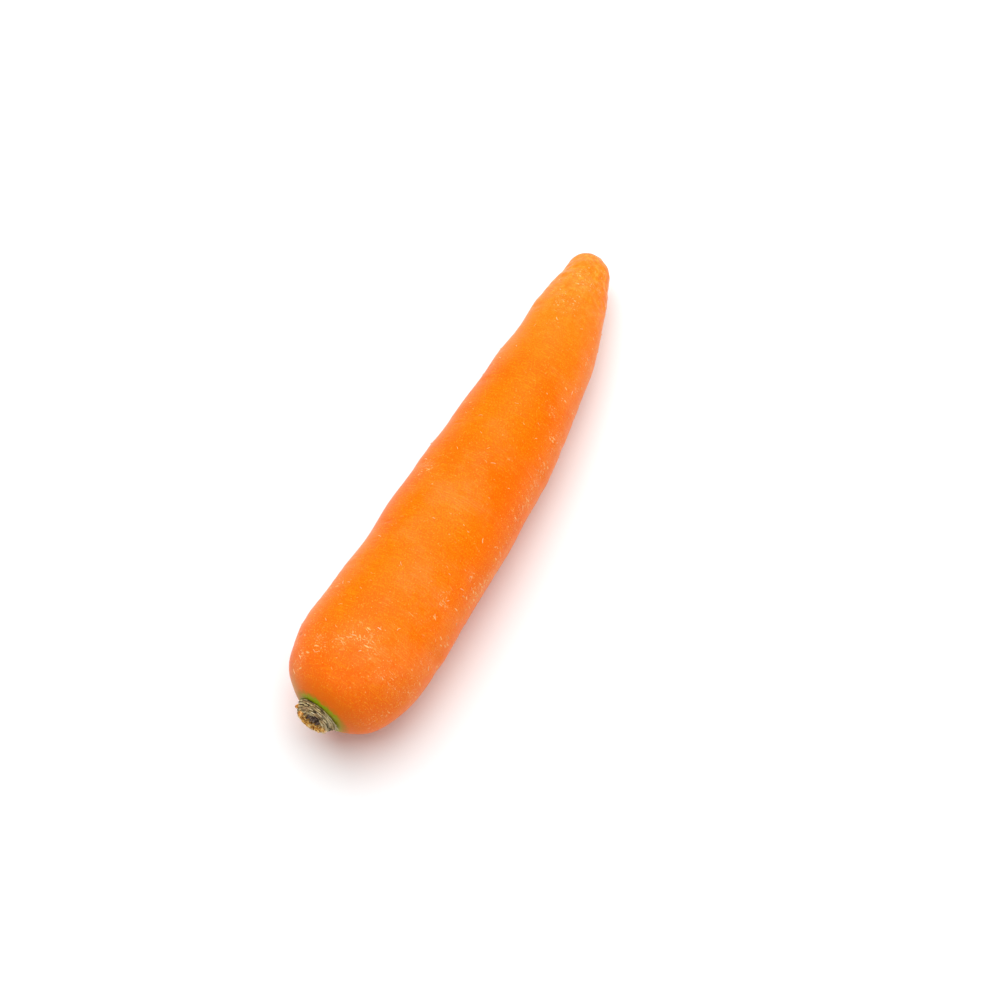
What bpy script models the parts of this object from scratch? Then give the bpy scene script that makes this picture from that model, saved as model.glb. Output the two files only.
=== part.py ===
"""A whole carrot, pulled and trimmed, lying on its side.

The taproot is one solid: a tapering body with a round shoulder and a blunt nose, bowed a little
to one side, with swells, dents and short cross creases in its skin. The cut bases of the leaf
stalks sit in a shallow socket at the crown as a second solid.

Metres, +Z up. The root lies along X with its crown at -X. The origin is on the surface that the
carrot rests on, under the middle of the carrot.
"""

import math
import random

import bmesh
import bpy
from mathutils import Matrix, Vector

MM = 0.001
FULL_TURN = 2 * math.pi
SEAM_MERGE = 0.01 * MM

# Driving dimensions of the root. Distances along it, called run, start at the crown.
# It tapers from the body's radius by this much, slowly at first.
ROOT_LENGTH = 191 * MM
BODY_RADIUS = 21.4 * MM
TAPER = 14.2 * MM
TAPER_POWER = 2.9
SHOULDER_RUN = 25 * MM
SHOULDER_POWER = 1.7
NOSE_RUN = 10 * MM
NOSE_POWER = 2.6

# The root bows to -Y, and its crown leans back to +Y.
BOW = 5.6 * MM
BOW_SKEW = 1.23
CROWN_LEAN = 2.0 * MM
CROWN_LEAN_RUN = 26 * MM

# How it lies: pressed flat by this depth under its weight, and rising a little to both ends.
REST_RUN = 82 * MM
FLAT_DEPTH = 0.4 * MM
CROWN_LIFT = 1.0 * MM
TIP_LIFT = 4.2 * MM

# The cut leaf stalks and the socket that they grow from.
STUB_RADIUS = 5.5 * MM
STUB_HEIGHT = 4.0 * MM
STUB_LEAN = 0.12
CUT_SLANT = 0.09
SOCKET_RADIUS = 6.1 * MM
SOCKET_DEPTH = 1.6 * MM
JOIN_GAP = 0.3 * MM

# Fineness of the solids. The shoulder's rings crowd together where it is steep.
ROOT_SEGMENTS = 48
RING_STEP = 1.85 * MM
END_RINGS = 7
STEEP_SHOULDER = 7.5 * MM
SHOULDER_CROWDING = 1.8
STUB_SEGMENTS = 40
SHARP_EDGE = math.radians(50)

SEED = 11


def clear_scene():
    for old in list(bpy.data.objects):
        bpy.data.objects.remove(old, do_unlink=True)


def plain_material(name, colour, roughness):
    material = bpy.data.materials.new(name)
    material.use_nodes = True
    shader = material.node_tree.nodes["Principled BSDF"]
    shader.inputs["Base Color"].default_value = (*colour, 1.0)
    shader.inputs["Roughness"].default_value = roughness
    shader.inputs["Metallic"].default_value = 0.0
    return material


def bump(distance, width):
    """1 at distance 0, falling smoothly to 0 a few widths away."""
    return math.exp(-((distance / width) ** 2))


def smooth_step(value):
    value = min(1.0, max(0.0, value))
    return value * value * (3 - 2 * value)


def turn_between(a, b):
    """The angle from b to a, from -pi to pi."""
    return (a - b + math.pi) % FULL_TURN - math.pi


def taper_radius(run):
    """Radius of the body as if it had neither shoulder nor nose."""
    return BODY_RADIUS - TAPER * (max(run, 0.0) / ROOT_LENGTH) ** TAPER_POWER


def root_radius(run):
    """Radius with the elliptical shoulder at the crown and the round nose at the tip."""
    to_full = max(0.0, 1 - run / SHOULDER_RUN)
    shoulder = (1 - to_full**2) ** (1 / SHOULDER_POWER)
    into_nose = max(0.0, (run - ROOT_LENGTH + NOSE_RUN) / NOSE_RUN)
    nose = max(0.0, 1 - into_nose**2) ** (1 / NOSE_POWER)
    radius = SOCKET_RADIUS + (taper_radius(run) - SOCKET_RADIUS) * shoulder
    return radius * nose


def axis_point(run):
    """The middle of the root at this run, with the flat spot's depth already pressed in."""
    bow = -BOW * math.sin(math.pi * max(run / ROOT_LENGTH, 0.0) ** BOW_SKEW)
    lean = CROWN_LEAN * max(0.0, 1 - run / CROWN_LEAN_RUN) ** 2
    if run < REST_RUN:
        lift = CROWN_LIFT * (1 - run / REST_RUN) ** 2
    else:
        lift = TIP_LIFT * ((run - REST_RUN) / (ROOT_LENGTH - REST_RUN)) ** 2
    return Vector((run, bow + lean, taper_radius(run) + lift - FLAT_DEPTH))


def axis_frame(run):
    """Middle, direction, side and up of the root at this run."""
    step = 0.5 * MM
    along = (axis_point(run + step) - axis_point(run - step)).normalized()
    side = Vector((0, 0, 1)).cross(along).normalized()
    return axis_point(run), along, side, along.cross(side)


# Surface relief of the root. A turn of 0 faces +Y, a quarter turn faces up.

# Each swell: height, length of a wave along the root, waves round it, phase.
SWELLS = (
    (0.30 * MM, 88 * MM, 1, 0.6),
    (0.22 * MM, 61 * MM, 2, 2.4),
    (0.16 * MM, 37 * MM, 1, 4.1),
    (0.12 * MM, 24 * MM, 3, 1.3),
)

# Each dent or, with a positive height, lump: run, turn, height, reach along, reach round.
DENTS = (
    (7.5 * MM, 0.05, 0.75 * MM, 4.5 * MM, 0.9),
    (6 * MM, 3.55, 0.85 * MM, 6 * MM, 0.8),
    (21 * MM, 3.38, 1.05 * MM, 13 * MM, 0.9),
    (54 * MM, 0.10, -0.85 * MM, 11 * MM, 0.9),
    (57 * MM, 3.35, -0.65 * MM, 12 * MM, 0.9),
    (74 * MM, 0.20, 0.60 * MM, 11 * MM, 0.9),
    (70 * MM, 2.30, -0.45 * MM, 9 * MM, 0.5),
    (98 * MM, 1.05, -0.35 * MM, 14 * MM, 0.5),
    (101 * MM, 0.20, -0.45 * MM, 7 * MM, 0.8),
    (99 * MM, 3.35, 0.40 * MM, 8 * MM, 0.8),
    (139 * MM, 0.20, 0.65 * MM, 9 * MM, 0.9),
    (147 * MM, 3.35, 0.50 * MM, 8 * MM, 0.9),
    (141 * MM, 1.90, -0.40 * MM, 7 * MM, 0.6),
    (169 * MM, 0.20, -0.50 * MM, 4.5 * MM, 0.9),
    (175 * MM, 0.20, -0.35 * MM, 3.5 * MM, 0.9),
    (181 * MM, 0.30, -1.25 * MM, 4.5 * MM, 0.9),
    (181 * MM, 3.25, -1.05 * MM, 4.5 * MM, 0.9),
    (190 * MM, 0.70, 1.10 * MM, 3 * MM, 1.0),
    (190 * MM, 2.40, -1.10 * MM, 3 * MM, 0.9),
)

# The underside that it rests on has no relief.
UNDERSIDE = -math.pi / 2
UNDERSIDE_REACH = 0.7
CROWN_FADE = 7 * MM
TIP_FADE = 3 * MM

# Cross creases: the slits that the fine side roots left, in four rows, and wrinkles between them.
SCAR_ROWS = 4
SCARS_IN_ROW = 11
FIRST_SCAR = 14 * MM
SCARRED_LENGTH = 162 * MM
SCAR_WIDTH = 1.15 * MM
WRINKLES = 34
CREASE_LIP = 0.45
CREASE_LIP_OUT = 1.7


def cross_creases():
    """Each crease: run, turn, depth, width along the root, half its reach round, slant."""
    draw = random.Random(SEED)
    creases = []
    for row in range(SCAR_ROWS):
        row_turn = 0.55 + row * FULL_TURN / SCAR_ROWS
        for place in range(SCARS_IN_ROW):
            run = FIRST_SCAR + SCARRED_LENGTH * (place + draw.uniform(0.15, 0.85)) / SCARS_IN_ROW
            turn = row_turn + draw.uniform(-0.22, 0.22)
            depth = draw.uniform(0.22, 0.42) * MM
            creases.append((run, turn, depth, SCAR_WIDTH, draw.uniform(0.14, 0.3), 0.0))
    for _ in range(WRINKLES):
        run = draw.uniform(10, 182) * MM
        turn = draw.uniform(0, FULL_TURN)
        depth = draw.uniform(0.1, 0.24) * MM
        reach = draw.uniform(0.35, 0.9)
        slant = draw.uniform(-1.2, 1.2) * MM
        creases.append((run, turn, depth, draw.uniform(1.2, 1.9) * MM, reach, slant))
    return creases


CREASES = cross_creases()


def relief(run, turn):
    """How far the skin stands out of the plain tapering body."""
    fade = smooth_step(run / CROWN_FADE) * smooth_step((ROOT_LENGTH - run) / TIP_FADE)
    under = bump(turn_between(turn, UNDERSIDE), UNDERSIDE_REACH)
    height = 0.0
    for swell, wave, waves_round, phase in SWELLS:
        height += swell * math.sin(FULL_TURN * run / wave + waves_round * turn + phase)
    for dent_run, dent_turn, dent, reach, reach_round in DENTS:
        round_share = bump(turn_between(turn, dent_turn), reach_round)
        height += dent * bump(run - dent_run, reach) * round_share
    for crease_run, crease_turn, depth, width, reach, slant in CREASES:
        away = turn_between(turn, crease_turn)
        if abs(away) < 2.5 * reach:
            across = run - crease_run - slant * away
            lip = CREASE_LIP * bump(across - CREASE_LIP_OUT * width, width)
            height += depth * (lip - bump(across, width)) * bump(away, reach)
    return height * fade * (1 - under)


# The scar where the thin tail broke off, at the tip.
TAIL_SCAR_RADIUS = 1.7 * MM
TAIL_SCAR_DEPTH = 0.5 * MM


def tail_scar(distance):
    """Depth of the small crater at the tip, with a lip round it, by distance from the axis."""
    crater = -TAIL_SCAR_DEPTH * bump(distance, 0.6 * TAIL_SCAR_RADIUS)
    lip = 0.5 * TAIL_SCAR_DEPTH * bump(distance - 1.3 * TAIL_SCAR_RADIUS, 0.5 * TAIL_SCAR_RADIUS)
    return crater + lip


def root_profile():
    """Half outline of the straight root, from the middle of the socket round to the tip."""
    points = [(SOCKET_DEPTH, 0.0), (SOCKET_DEPTH, 0.5 * SOCKET_RADIUS), (SOCKET_DEPTH, SOCKET_RADIUS)]
    for ring in range(END_RINGS):
        run = STEEP_SHOULDER * (ring / END_RINGS) ** SHOULDER_CROWDING
        points.append((run, root_radius(run)))
    body_end = ROOT_LENGTH - NOSE_RUN
    rings = round((body_end - STEEP_SHOULDER) / RING_STEP)
    for ring in range(rings):
        run = STEEP_SHOULDER + (body_end - STEEP_SHOULDER) * ring / rings
        points.append((run, root_radius(run)))
    for ring in range(END_RINGS + 1):
        quarter = 0.5 * math.pi * ring / END_RINGS
        run = body_end + NOSE_RUN * math.sin(quarter)
        points.append((run, root_radius(run)))
    return points


def turned(profile, segments):
    """A closed shape: the outline turned all the way round X."""
    shape = bmesh.new()
    line = [shape.verts.new((run, 0.0, radius)) for run, radius in profile]
    edges = [shape.edges.new(pair) for pair in zip(line, line[1:])]
    bmesh.ops.spin(
        shape,
        geom=line + edges,
        cent=(0, 0, 0),
        axis=(1, 0, 0),
        angle=FULL_TURN,
        steps=segments,
        use_merge=True,
    )
    bmesh.ops.remove_doubles(shape, verts=shape.verts, dist=SEAM_MERGE)
    bmesh.ops.recalc_face_normals(shape, faces=shape.faces)
    shape.normal_update()
    return shape


def mesh_of(shape, name):
    """The shape written to a new mesh, and freed."""
    mesh = bpy.data.meshes.new(name)
    shape.to_mesh(mesh)
    shape.free()
    return mesh


def finished(name, mesh, material):
    """The object for this mesh, smooth apart from its sharp edges."""
    mesh.shade_smooth()
    mesh.set_sharp_from_angle(angle=SHARP_EDGE)
    mesh.materials.append(material)
    made = bpy.data.objects.new(name, mesh)
    bpy.context.scene.collection.objects.link(made)
    return made


def make_taproot():
    shape = turned(root_profile(), ROOT_SEGMENTS)
    moved = {}
    for point in shape.verts:
        run, side, up = point.co
        distance = math.hypot(side, up)
        in_socket = distance < SOCKET_RADIUS + SEAM_MERGE and run < SHOULDER_RUN
        height = 0.0 if in_socket else relief(run, math.atan2(up, side))
        if run > ROOT_LENGTH - NOSE_RUN:
            height += tail_scar(distance)
        place = point.co + point.normal * height
        middle, along, side_way, up_way = axis_frame(run)
        place = middle + along * (place.x - run) + side_way * place.y + up_way * place.z
        # What would reach below the surface is pressed flat on it.
        moved[point] = Vector((place.x, place.y, max(place.z, 0.0)))
    for point, place in moved.items():
        point.co = place
    return finished("taproot", mesh_of(shape, "taproot"), ORANGE)


# The stub of leaf stalks, made along X like the root: it stands out of the crown towards -X.

# Ring ridges that the shed leaf bases left round the stub: height over the crown, radius.
LEAF_SCAR_RINGS = (
    (0.6 * MM, 6.7 * MM),
    (1.4 * MM, 6.3 * MM),
    (2.2 * MM, 5.9 * MM),
    (3.0 * MM, 5.6 * MM),
)
RING_PITCH = 0.8 * MM
GROOVE_DEPTH = 0.5 * MM
RING_OVAL = 0.16 * MM
RING_RIPPLE = 0.1 * MM

HOLLOW_RADIUS = 2.9 * MM
HOLLOW_DEPTH = 2.2 * MM

# Cut stalk bases: how many in each whorl, radius of the whorl, thickness, half their reach round.
STALK_WHORLS = ((5, 4.5 * MM, 1.6 * MM, 0.66), (3, 3.1 * MM, 0.9 * MM, 0.66))
STALK_SLICES = 9
STALK_RISE = 0.8 * MM
STALK_ROOT = 1.5 * MM
STALK_EDGE = 0.35 * MM

# The dried end of one stalk that juts out of the side, this far below the cut.
NUB_TURN = 0.45
NUB_RADIUS = 0.9 * MM
NUB_DROP = 1.4 * MM

# Dried shoots in the hollow: each one's distance from the middle, turn, radius and height.
SHOOTS = (
    (1.1 * MM, 0.3, 0.75 * MM, 2.3 * MM),
    (1.2 * MM, 2.6, 0.65 * MM, 1.9 * MM),
    (1.0 * MM, 4.6, 0.6 * MM, 1.6 * MM),
)
SHOOT_SIDES = 7
SHOOT_ROOT = 0.6 * MM


def stub_profile():
    """Half outline of the stub's core, from the middle of its foot to the floor of its hollow."""
    foot_radius = SOCKET_RADIUS - JOIN_GAP
    rim_radius = STUB_RADIUS - 0.5 * GROOVE_DEPTH
    points = [(SOCKET_DEPTH - JOIN_GAP, 0.0), (SOCKET_DEPTH - JOIN_GAP, foot_radius), (0.0, foot_radius)]
    for height, radius in LEAF_SCAR_RINGS:
        points += [(-height + 0.5 * RING_PITCH, radius - GROOVE_DEPTH), (-height, radius)]
    points += [(-STUB_HEIGHT, rim_radius), (-STUB_HEIGHT, HOLLOW_RADIUS)]
    points += [(-STUB_HEIGHT + 0.7 * HOLLOW_DEPTH, 0.8 * HOLLOW_RADIUS), (-STUB_HEIGHT + HOLLOW_DEPTH, 0.0)]
    return points


def make_stub_core():
    shape = turned(stub_profile(), STUB_SEGMENTS)
    for point in shape.verts:
        distance = math.hypot(point.co.y, point.co.z)
        if point.co.x < 0 and distance > HOLLOW_RADIUS:
            turn = math.atan2(point.co.z, point.co.y)
            ring_phase = FULL_TURN * point.co.x / (2.6 * RING_PITCH)
            # The rings aren't quite round, and ripple where one leaf base ended.
            wobble = RING_OVAL * math.sin(2 * turn + 0.8) + RING_RIPPLE * math.sin(5 * turn + ring_phase)
            stretch = 1 + wobble / distance
            point.co = Vector((point.co.x, point.co.y * stretch, point.co.z * stretch))
    return mesh_of(shape, "stub_core")


def make_stalk_base(middle_turn, radius, thickness, reach, rise):
    """One cut stalk base: a crescent in plan, thick in the middle and thin at its margins."""
    shape = bmesh.new()
    slices = []
    for step in range(STALK_SLICES):
        share = 2 * step / (STALK_SLICES - 1) - 1
        turn = middle_turn + reach * share
        half = 0.5 * thickness * (1 - 0.75 * share * share)
        foot = -STUB_HEIGHT + STALK_ROOT
        head = -STUB_HEIGHT - rise * (1 - 0.4 * share * share)
        # Inner wall, rounded head and outer wall of this slice.
        ring = (
            (foot, radius - half),
            (head + STALK_EDGE, radius - half),
            (head, radius - 0.5 * half),
            (head, radius + 0.4 * half),
            (head + STALK_EDGE, radius + half),
            (foot, radius + half),
        )
        slices.append([shape.verts.new((x, r * math.cos(turn), r * math.sin(turn))) for x, r in ring])
    for one, other in zip(slices, slices[1:]):
        for corner in range(len(one)):
            after = (corner + 1) % len(one)
            shape.faces.new((one[corner], one[after], other[after], other[corner]))
    shape.faces.new(slices[0])
    shape.faces.new(slices[-1])
    bmesh.ops.recalc_face_normals(shape, faces=shape.faces)
    return mesh_of(shape, "stalk_base")


def make_nub():
    shape = bmesh.new()
    bmesh.ops.create_icosphere(shape, subdivisions=2, radius=NUB_RADIUS)
    out = STUB_RADIUS + 0.6 * NUB_RADIUS
    place = Vector((NUB_DROP - STUB_HEIGHT, out * math.cos(NUB_TURN), out * math.sin(NUB_TURN)))
    bmesh.ops.translate(shape, vec=place, verts=shape.verts)
    return mesh_of(shape, "nub")


def make_shoot(distance, turn, radius, height):
    """A dried leaf shoot, a blunt cone that stands on the floor of the hollow."""
    shape = bmesh.new()
    depth = height + SHOOT_ROOT
    bmesh.ops.create_cone(
        shape, cap_ends=True, segments=SHOOT_SIDES, radius1=radius, radius2=0.35 * radius, depth=depth
    )
    # The cone points up; it is turned to point out of the crown, along -X.
    bmesh.ops.rotate(shape, matrix=Matrix.Rotation(-math.pi / 2, 3, "Y"), verts=shape.verts)
    floor = -STUB_HEIGHT + HOLLOW_DEPTH
    place = Vector((floor + SHOOT_ROOT - depth / 2, distance * math.cos(turn), distance * math.sin(turn)))
    bmesh.ops.translate(shape, vec=place, verts=shape.verts)
    return mesh_of(shape, "shoot")


def join(target, meshes):
    """Fuse the repeats into the target with one union."""
    repeats = bpy.data.collections.new("repeats")
    bpy.context.scene.collection.children.link(repeats)
    for mesh in meshes:
        repeats.objects.link(bpy.data.objects.new(mesh.name, mesh))
    union = target.modifiers.new("join_repeats", "BOOLEAN")
    union.operation = "UNION"
    union.operand_type = "COLLECTION"
    union.collection = repeats
    bpy.context.view_layer.objects.active = target
    bpy.ops.object.modifier_apply(modifier=union.name)
    for one in list(repeats.objects):
        bpy.data.objects.remove(one, do_unlink=True)
    bpy.data.collections.remove(repeats)


def make_leaf_stalk_stub():
    draw = random.Random(SEED)
    stub = finished("leaf_stalk_stub", make_stub_core(), STRAW)
    stalks = [make_nub()]
    stalks += [make_shoot(*shoot) for shoot in SHOOTS]
    for count, radius, thickness, reach in STALK_WHORLS:
        for place in range(count):
            turn = 0.4 + FULL_TURN * place / count + draw.uniform(-0.12, 0.12)
            rise = STALK_RISE * draw.uniform(0.5, 1.0)
            stalks.append(make_stalk_base(turn, radius, thickness, reach, rise))
    join(stub, stalks)
    # The knife went through at a slant, so the stub is taller towards +Y. It leans the other way.
    for point in stub.data.vertices:
        if point.co.x < 0:
            point.co.x *= 1 + CUT_SLANT * point.co.y / STUB_HEIGHT
            point.co.y += STUB_LEAN * point.co.x
    middle, along, side, up = axis_frame(0.0)
    heading = Matrix((along, side, up)).transposed().to_4x4()
    stub.matrix_world = Matrix.Translation(middle) @ heading
    return stub


def lowest_and_highest(objects):
    corners = [one.matrix_world @ point.co for one in objects for point in one.data.vertices]
    low = Vector([min(corner[axis] for corner in corners) for axis in range(3)])
    high = Vector([max(corner[axis] for corner in corners) for axis in range(3)])
    return low, high


clear_scene()
ORANGE = plain_material("carrot_skin", (0.9, 0.22, 0.02), 0.5)
STRAW = plain_material("dry_stalk", (0.38, 0.29, 0.14), 0.8)
pieces = [make_taproot(), make_leaf_stalk_stub()]
bpy.context.view_layer.update()
low, high = lowest_and_highest(pieces)

# Both solids hang from one empty, which puts the origin under the middle of the carrot.
rest = bpy.data.objects.new("carrot", None)
bpy.context.scene.collection.objects.link(rest)
for piece in pieces:
    piece.parent = rest
rest.location = (-(low.x + high.x) / 2, -(low.y + high.y) / 2, 0.0)
bpy.context.view_layer.update()
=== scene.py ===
"""The looks of a whole carrot, pulled, washed and trimmed, lying on a white table."""

import math
import random

import bpy
import numpy as np
from mathutils import Matrix, Vector, noise


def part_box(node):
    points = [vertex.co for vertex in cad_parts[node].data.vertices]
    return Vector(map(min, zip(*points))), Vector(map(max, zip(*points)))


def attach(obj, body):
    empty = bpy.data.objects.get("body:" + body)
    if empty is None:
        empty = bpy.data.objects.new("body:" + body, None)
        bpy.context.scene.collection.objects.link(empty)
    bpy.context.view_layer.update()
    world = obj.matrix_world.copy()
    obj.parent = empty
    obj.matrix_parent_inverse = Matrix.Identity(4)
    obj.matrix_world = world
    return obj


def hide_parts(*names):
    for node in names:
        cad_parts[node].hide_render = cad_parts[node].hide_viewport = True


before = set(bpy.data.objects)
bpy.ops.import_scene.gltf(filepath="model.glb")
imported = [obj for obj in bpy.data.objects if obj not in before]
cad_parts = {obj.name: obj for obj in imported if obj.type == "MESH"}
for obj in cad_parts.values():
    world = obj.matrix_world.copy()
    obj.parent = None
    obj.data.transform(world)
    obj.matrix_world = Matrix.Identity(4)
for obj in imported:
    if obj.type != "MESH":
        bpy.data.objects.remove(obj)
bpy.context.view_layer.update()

MM = 0.001


# The skin of the root, which is thin cork over living flesh. It was washed but not peeled, so it
# keeps the fine wrinkles that formed across the root as it swelled, the slits where side roots
# came through, and the pale scuffs from harvest and washing.
bpy.ops.object.select_all(action="DESELECT")
skin = bpy.data.objects.new("carrot_skin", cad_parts["taproot"].data.copy())
bpy.context.scene.collection.objects.link(skin)
bpy.context.view_layer.objects.active = skin
skin.select_set(True)
bpy.ops.mesh.customdata_custom_splitnormals_clear()
bpy.ops.object.mode_set(mode="EDIT")
bpy.ops.mesh.select_all(action="SELECT")
bpy.ops.mesh.remove_doubles(threshold=0.001 * MM)
bpy.ops.mesh.tris_convert_to_quads(face_threshold=math.radians(50), shape_threshold=math.radians(50))
bpy.ops.object.mode_set(mode="OBJECT")
finer = skin.modifiers.new("finer", "SUBSURF")
finer.levels = 2
finer.render_levels = 2
bpy.ops.object.modifier_apply(modifier=finer.name)
bpy.ops.object.shade_smooth()


def read_points(mesh):
    """The mesh's points and their normals, one row each."""
    points = np.empty(len(mesh.vertices) * 3)
    normals = np.empty(len(mesh.vertices) * 3, np.float32)
    mesh.vertices.foreach_get("co", points)
    mesh.vertex_normals.foreach_get("vector", normals)
    return points.reshape(-1, 3), normals.reshape(-1, 3)


def write_points(mesh, points):
    mesh.vertices.foreach_set("co", points.ravel())
    mesh.update()


def bump(distance, width):
    """1 at distance 0, falling smoothly to 0 a few widths away."""
    return np.exp(-((distance / width) ** 2))


# The bow of the root: a smooth line through the middle of its slices. Run is the distance from
# the crown, and turn is 0 on top and half a turn on the underside.
points, normals = read_points(skin.data)
crown_x = points[:, 0].min()
middle_y = np.polynomial.Polynomial.fit(points[:, 0], points[:, 1], 5)
middle_z = np.polynomial.Polynomial.fit(points[:, 0], points[:, 2], 5)
run = points[:, 0] - crown_x
side = points[:, 1] - middle_y(points[:, 0])
rise = points[:, 2] - middle_z(points[:, 0])
turn = np.arctan2(side, rise)
draw = random.Random(5)

# Wrinkles: ridges a couple of millimetres apart that run round the root and fade in and out.
WRINKLE_PITCH = 2.1 * MM
WRINKLE_HEIGHT = 0.075 * MM
WRINKLE_REACH = 1.7
PATCH = 24 * MM
wrinkles = np.array([
    noise.noise(Vector((r / WRINKLE_PITCH, WRINKLE_REACH * math.cos(t), WRINKLE_REACH * math.sin(t))))
    for r, t in zip(run, turn)
])
patches = np.array([noise.noise(Vector(place) / PATCH) for place in points])
height = WRINKLE_HEIGHT * wrinkles * np.clip(0.6 + 1.4 * patches, 0.15, 1.4)

# The last centimetres grow knobbly, where the root narrowed to its tail.
KNOB_HEIGHT = 0.3 * MM
KNOB_PITCH = 3.2 * MM
KNOBS_START = 158 * MM
KNOBS_FADE = 20 * MM
END_WRINKLES = 0.08 * MM
knobs = np.array([noise.noise(Vector((1.6 * x, y, z)) / KNOB_PITCH) for x, y, z in points])
knobbly = np.clip((run - KNOBS_START) / KNOBS_FADE, 0, 1)
height += (KNOB_HEIGHT * knobs + END_WRINKLES * wrinkles) * knobbly

# Slits of the side roots, most of them in four rows down the root. Each is a short cut across it
# with raised lips.
SLIT_ROWS = 4
SLITS_IN_ROW = 13
LOOSE_SLITS = 26
SLIT_WIDTH = 0.42 * MM
MEAN_RADIUS = 17 * MM
slits = []
for row in range(SLIT_ROWS):
    for place in range(SLITS_IN_ROW):
        slit_run = (10 + 172 * (place + draw.random()) / SLITS_IN_ROW) * MM
        slit_turn = 0.9 + row * math.pi / 2 + draw.uniform(-0.25, 0.25)
        slits.append((slit_run, slit_turn, draw.uniform(0.7, 1.6) * MM, draw.uniform(0.1, 0.22) * MM))
for _ in range(LOOSE_SLITS):
    slit_run, slit_turn = draw.uniform(8, 184) * MM, draw.uniform(-math.pi, math.pi)
    slits.append((slit_run, slit_turn, draw.uniform(0.4, 1.0) * MM, draw.uniform(0.06, 0.14) * MM))
slit_mark = np.zeros(len(points))
for slit_run, slit_turn, reach, depth in slits:
    across = run - slit_run
    round_root = MEAN_RADIUS * ((turn - slit_turn + math.pi) % (2 * math.pi) - math.pi)
    ends = bump(round_root, reach)
    cut = bump(across, SLIT_WIDTH)
    lips = bump(np.abs(across) - 2 * SLIT_WIDTH, 0.8 * SLIT_WIDTH)
    height += depth * ends * (0.45 * lips - cut)
    slit_mark = np.maximum(slit_mark, np.clip(depth / (0.2 * MM), 0, 1) * ends * cut)

# Scuffs: one flank that rubbed against something, and patches of scratches. Each patch: its run and
# its reach in millimetres, its turn and its strength. More are strewn over the far side.
RUBBED_TURN = -1.33
RUBBED_REACH = 0.3
RUBBED_MIDDLE = 85 * MM
STREWN_SCUFFS = 44
RAGGED_PITCH = 5 * MM
scuffs = [
    (22, -0.05, 6, 1.0), (11, 0.8, 3, 0.9), (18, 0.5, 3, 0.7), (8, 0.95, 3.5, 0.8), (16, -0.8, 4.5, 0.8),
    (17, -1.3, 5, 0.8), (47, -0.83, 3.5, 1.0), (38, -0.72, 3.5, 0.8), (39, 0.9, 3, 0.5), (14, 0.36, 3, 0.5),
    (59, -1.0, 3, 0.7), (85, 0.75, 3.5, 0.9), (115, 0.95, 3, 0.6), (124, -0.8, 3, 0.7), (116, -1.2, 5, 1.0),
    (135, -1.02, 4.5, 1.0), (150, -1.12, 5, 0.9), (165, 0.3, 5, 0.6), (165, -0.14, 5, 0.6),
    (177, -0.1, 8, 0.6), (184, 0.15, 6, 0.6), (181, -0.8, 6, 0.7), (158, 0.2, 7, 0.5),
]
for _ in range(STREWN_SCUFFS):
    far_turn = draw.uniform(0.9, 2 * math.pi - 1.5)
    scuffs.append((draw.uniform(6, 186), far_turn, draw.uniform(2.5, 6), draw.uniform(0.4, 1.0)))
scuff_mark = 0.9 * bump(turn - RUBBED_TURN, RUBBED_REACH) * np.clip(0.65 + 2.2 * patches, 0.22, 1)
scuff_mark *= bump(run - RUBBED_MIDDLE, RUBBED_MIDDLE)
ragged = np.array([noise.noise(Vector(place) / RAGGED_PITCH) for place in points])
for scuff_run, scuff_turn, reach, strength in scuffs:
    round_root = MEAN_RADIUS * ((turn - scuff_turn + math.pi) % (2 * math.pi) - math.pi)
    patch = strength * bump(np.hypot(run - scuff_run * MM, round_root), reach * MM)
    scuff_mark = np.maximum(scuff_mark, 0.85 * patch * np.clip(0.7 + 1.6 * ragged, 0, 1))


def paint_points(mesh, name, values):
    """Keep one number at each point of the mesh, for its material to read."""
    written = mesh.attributes.new(name, "FLOAT", "POINT")
    written.data.foreach_set("value", np.asarray(values, np.float32))


# The side that it lies on stays above the table.
points += normals * height[:, None]
points[:, 2] = np.maximum(points[:, 2], 0)
write_points(skin.data, points)
paint_points(skin.data, "slit", slit_mark)
paint_points(skin.data, "scuff", scuff_mark)

# The unrolled skin, as a map: across it is the run, and up it is the turn, cut at the underside.
MAP_LENGTH = 200 * MM
MAP_ROUND = 100 * MM
corner_point = np.empty(len(skin.data.loops), np.int32)
skin.data.loops.foreach_get("vertex_index", corner_point)
face_of_corner = np.repeat(
    np.arange(len(skin.data.polygons)), [face.loop_total for face in skin.data.polygons]
)
corner_turn = turn[corner_point]
highest = np.full(len(skin.data.polygons), -9.0)
np.maximum.at(highest, face_of_corner, corner_turn)
crosses_seam = highest[face_of_corner] - corner_turn > math.pi
corner_turn = corner_turn + 2 * math.pi * crosses_seam
unrolled = skin.data.uv_layers.new(name="unrolled")
map_place = np.stack([run[corner_point] / MAP_LENGTH, 0.5 + corner_turn / (2 * math.pi)], 1)
unrolled.uv.foreach_set("vector", map_place.astype(np.float32).ravel())


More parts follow.
